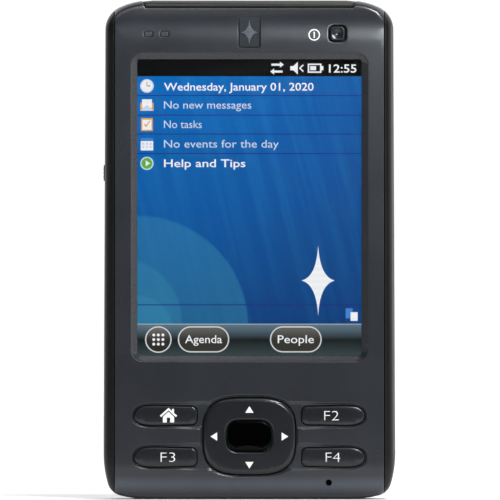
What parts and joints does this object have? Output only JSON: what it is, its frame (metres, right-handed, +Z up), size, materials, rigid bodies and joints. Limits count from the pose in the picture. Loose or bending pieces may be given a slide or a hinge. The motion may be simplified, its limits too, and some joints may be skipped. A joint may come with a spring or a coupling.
{
  "type": "personal digital assistant",
  "caption": "Handheld touch-screen organiser with oblong keys, a tilting direction pad, a stylus, a removable battery and a card slot under a cap.",
  "frame": {"origin": "middle of the lower edge that the device stands on", "axes": "+Z up the height, -Y out of the screen, +X to the right when facing the screen"},
  "size_m": [0.0702, 0.019, 0.12],
  "materials": {
    "housing_plastic": "fine-grained charcoal moulding",
    "side_band_rubber": "satin dark soft-touch band",
    "key_plastic": "satin dark moulding with white printing",
    "select_gloss": "polished black",
    "touch_glass": "clear touch film on glass",
    "lcd_picture": "lit colour display",
    "gasket_foam": "black closed foam",
    "frame_metal": "cast light metal",
    "board": "green printed circuit board",
    "steel": "thin plated sheet",
    "contact_gold": "gold-plated contacts",
    "black_plastic": "black moulding",
    "cap_plastic": "brownish-grey satin moulding",
    "light_pipe": "frosted clear plastic",
    "badge_metal": "satin grey inlay",
    "battery_wrap": "battery case with a plain label",
    "antenna_film": "amber flexible circuit"
  },
  "bodies": {
    "housing": {"front_housing": "housing_plastic", "rear_housing": "housing_plastic", "left_side_band": "side_band_rubber", "right_side_band": "side_band_rubber", "display_gasket": "gasket_foam", "touch_panel": "touch_glass", "lcd_module": "lcd_picture", "mid_frame": "frame_metal", "main_board": "board", "shield_can": "steel", "backup_cell": "steel", "keypad_board": "board", "indicator_board": "board", "dome_switches": "steel", "side_switch": "steel", "led_light_pipes": "light_pipe", "badge_plate": "badge_metal", "microphone": "steel", "speaker": "black_plastic", "headset_jack": "black_plastic", "sync_connector": "steel", "card_slot": "steel", "stylus_tube": "black_plastic", "battery_contacts": "contact_gold", "wlan_antenna": "antenna_film", "case_screws": "steel"},
    "key_home": {"key_home": "key_plastic"},
    "key_f2": {"key_f2": "key_plastic"},
    "key_f3": {"key_f3": "key_plastic"},
    "key_f4": {"key_f4": "key_plastic"},
    "nav_gimbal": {"nav_gimbal": "steel"},
    "nav_ring": {"nav_ring": "key_plastic"},
    "select_button": {"select_button": "select_gloss"},
    "power_button": {"power_button": "key_plastic"},
    "side_button": {"side_button": "key_plastic"},
    "slot_cap": {"slot_cap": "cap_plastic"},
    "stylus": {"stylus": "black_plastic"},
    "battery": {"battery": "battery_wrap"},
    "battery_door": {"battery_door": "housing_plastic"},
    "door_latch": {"door_latch": "key_plastic"}
  },
  "joints": [
    {"name": "key_home_press", "type": "slide", "parent": "housing", "child": "key_home", "axis": [0, 1, 0], "range_m": [0, 0.0004], "stiffness_N_per_m": 500},
    {"name": "key_f2_press", "type": "slide", "parent": "housing", "child": "key_f2", "axis": [0, 1, 0], "range_m": [0, 0.0004], "stiffness_N_per_m": 500},
    {"name": "key_f3_press", "type": "slide", "parent": "housing", "child": "key_f3", "axis": [0, 1, 0], "range_m": [0, 0.0004], "stiffness_N_per_m": 500},
    {"name": "key_f4_press", "type": "slide", "parent": "housing", "child": "key_f4", "axis": [0, 1, 0], "range_m": [0, 0.0004], "stiffness_N_per_m": 500},
    {"name": "nav_pitch", "type": "hinge", "parent": "housing", "child": "nav_gimbal", "pos_m": [0, -0.0068, 0.0152], "axis": [1, 0, 0], "range_deg": [-2, 2], "stiffness_Nm_per_rad": 0.3},
    {"name": "nav_yaw", "type": "hinge", "parent": "nav_gimbal", "child": "nav_ring", "pos_m": [0, -0.0068, 0.0152], "axis": [0, 0, 1], "range_deg": [-2, 2], "stiffness_Nm_per_rad": 0.3},
    {"name": "select_press", "type": "slide", "parent": "housing", "child": "select_button", "axis": [0, 1, 0], "range_m": [0, 0.0004], "stiffness_N_per_m": 500},
    {"name": "power_press", "type": "slide", "parent": "housing", "child": "power_button", "axis": [0, 1, 0], "range_m": [0, 0.0004], "stiffness_N_per_m": 500},
    {"name": "side_button_press", "type": "slide", "parent": "housing", "child": "side_button", "axis": [1, 0, 0], "range_m": [0, 0.0004], "stiffness_N_per_m": 500},
    {"name": "slot_cap_lift", "type": "slide", "parent": "housing", "child": "slot_cap", "axis": [0, 0, 1], "range_m": [0, 0.012]},
    {"name": "stylus_draw", "type": "slide", "parent": "housing", "child": "stylus", "axis": [0, 0, 1], "range_m": [0, 0.085]},
    {"name": "door_lift", "type": "slide", "parent": "housing", "child": "battery_door", "axis": [0, 1, 0], "range_m": [0, 0.016]},
    {"name": "battery_lift", "type": "slide", "parent": "housing", "child": "battery", "axis": [0, 1, 0], "range_m": [0, 0.008]},
    {"name": "latch_slide", "type": "slide", "parent": "housing", "child": "door_latch", "axis": [0, 0, 1], "range_m": [0, 0.0025], "stiffness_N_per_m": 200}
  ],
  "couplings": [
    {"joint": "battery_lift", "follows": "door_lift", "ratio": 0.5}
  ]
}
